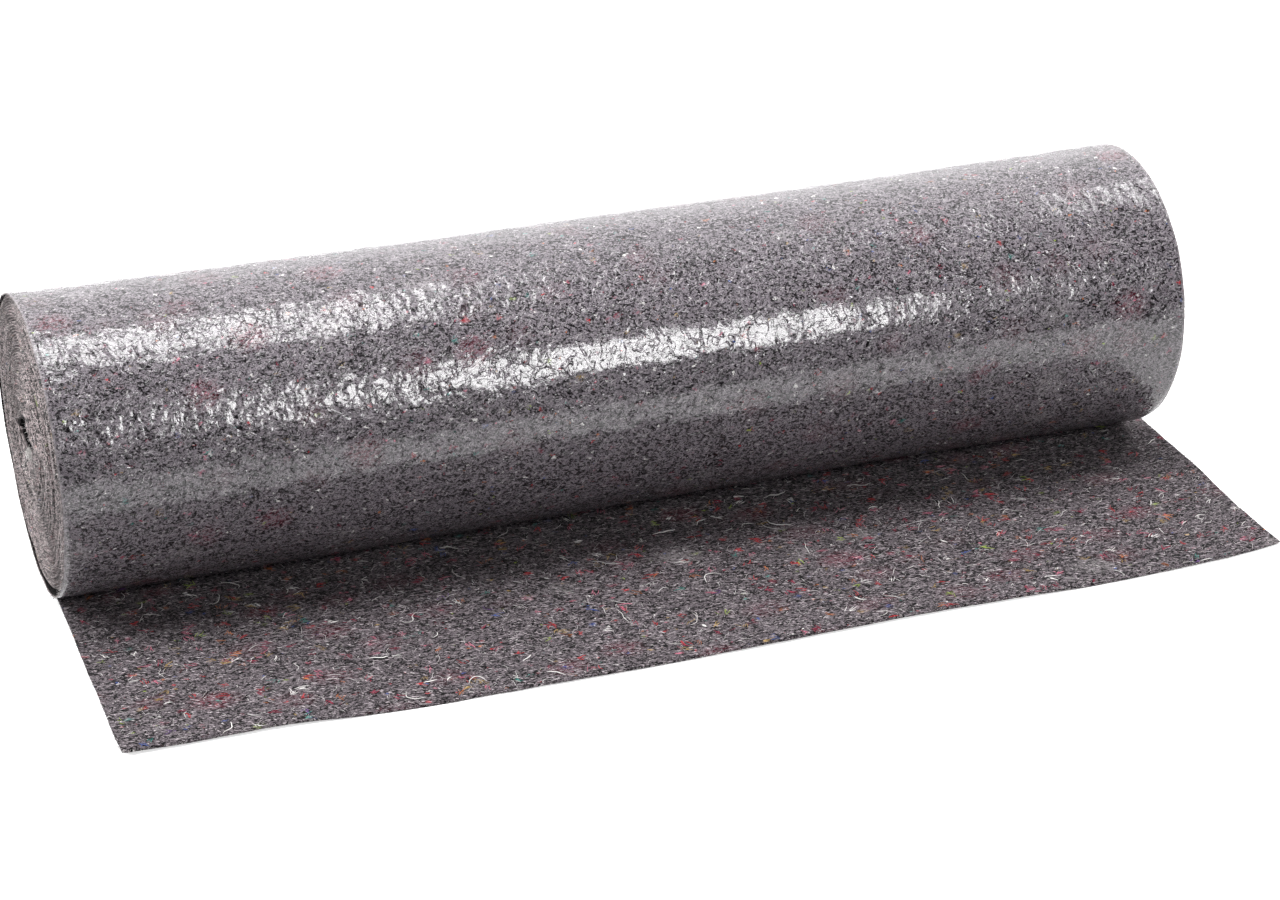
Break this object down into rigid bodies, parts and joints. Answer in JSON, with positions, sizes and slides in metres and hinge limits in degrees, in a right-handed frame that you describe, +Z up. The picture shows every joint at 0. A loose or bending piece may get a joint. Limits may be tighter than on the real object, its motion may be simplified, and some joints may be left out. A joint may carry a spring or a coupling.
{
  "type": "roll of film-backed covering fleece",
  "caption": "Roll of grey recycled-fibre felt faced with clear film, wound without a core, its loose end laid out flat in front of it.",
  "frame": {"origin": "on the floor, under the axis of the roll, halfway along the roll", "axes": "+X along the roll, -Y towards the loose end, +Z up"},
  "size_m": [1.014, 0.4406, 0.255],
  "materials": {
    "felt": "matt needled felt of mixed recycled fibres",
    "film_faced_felt": "the same felt, its outer side under a thin clear glossy film"
  },
  "bodies": {
    "root": {"wound_roll": "felt", "loose_end": "film_faced_felt"}
  },
  "joints": []
}
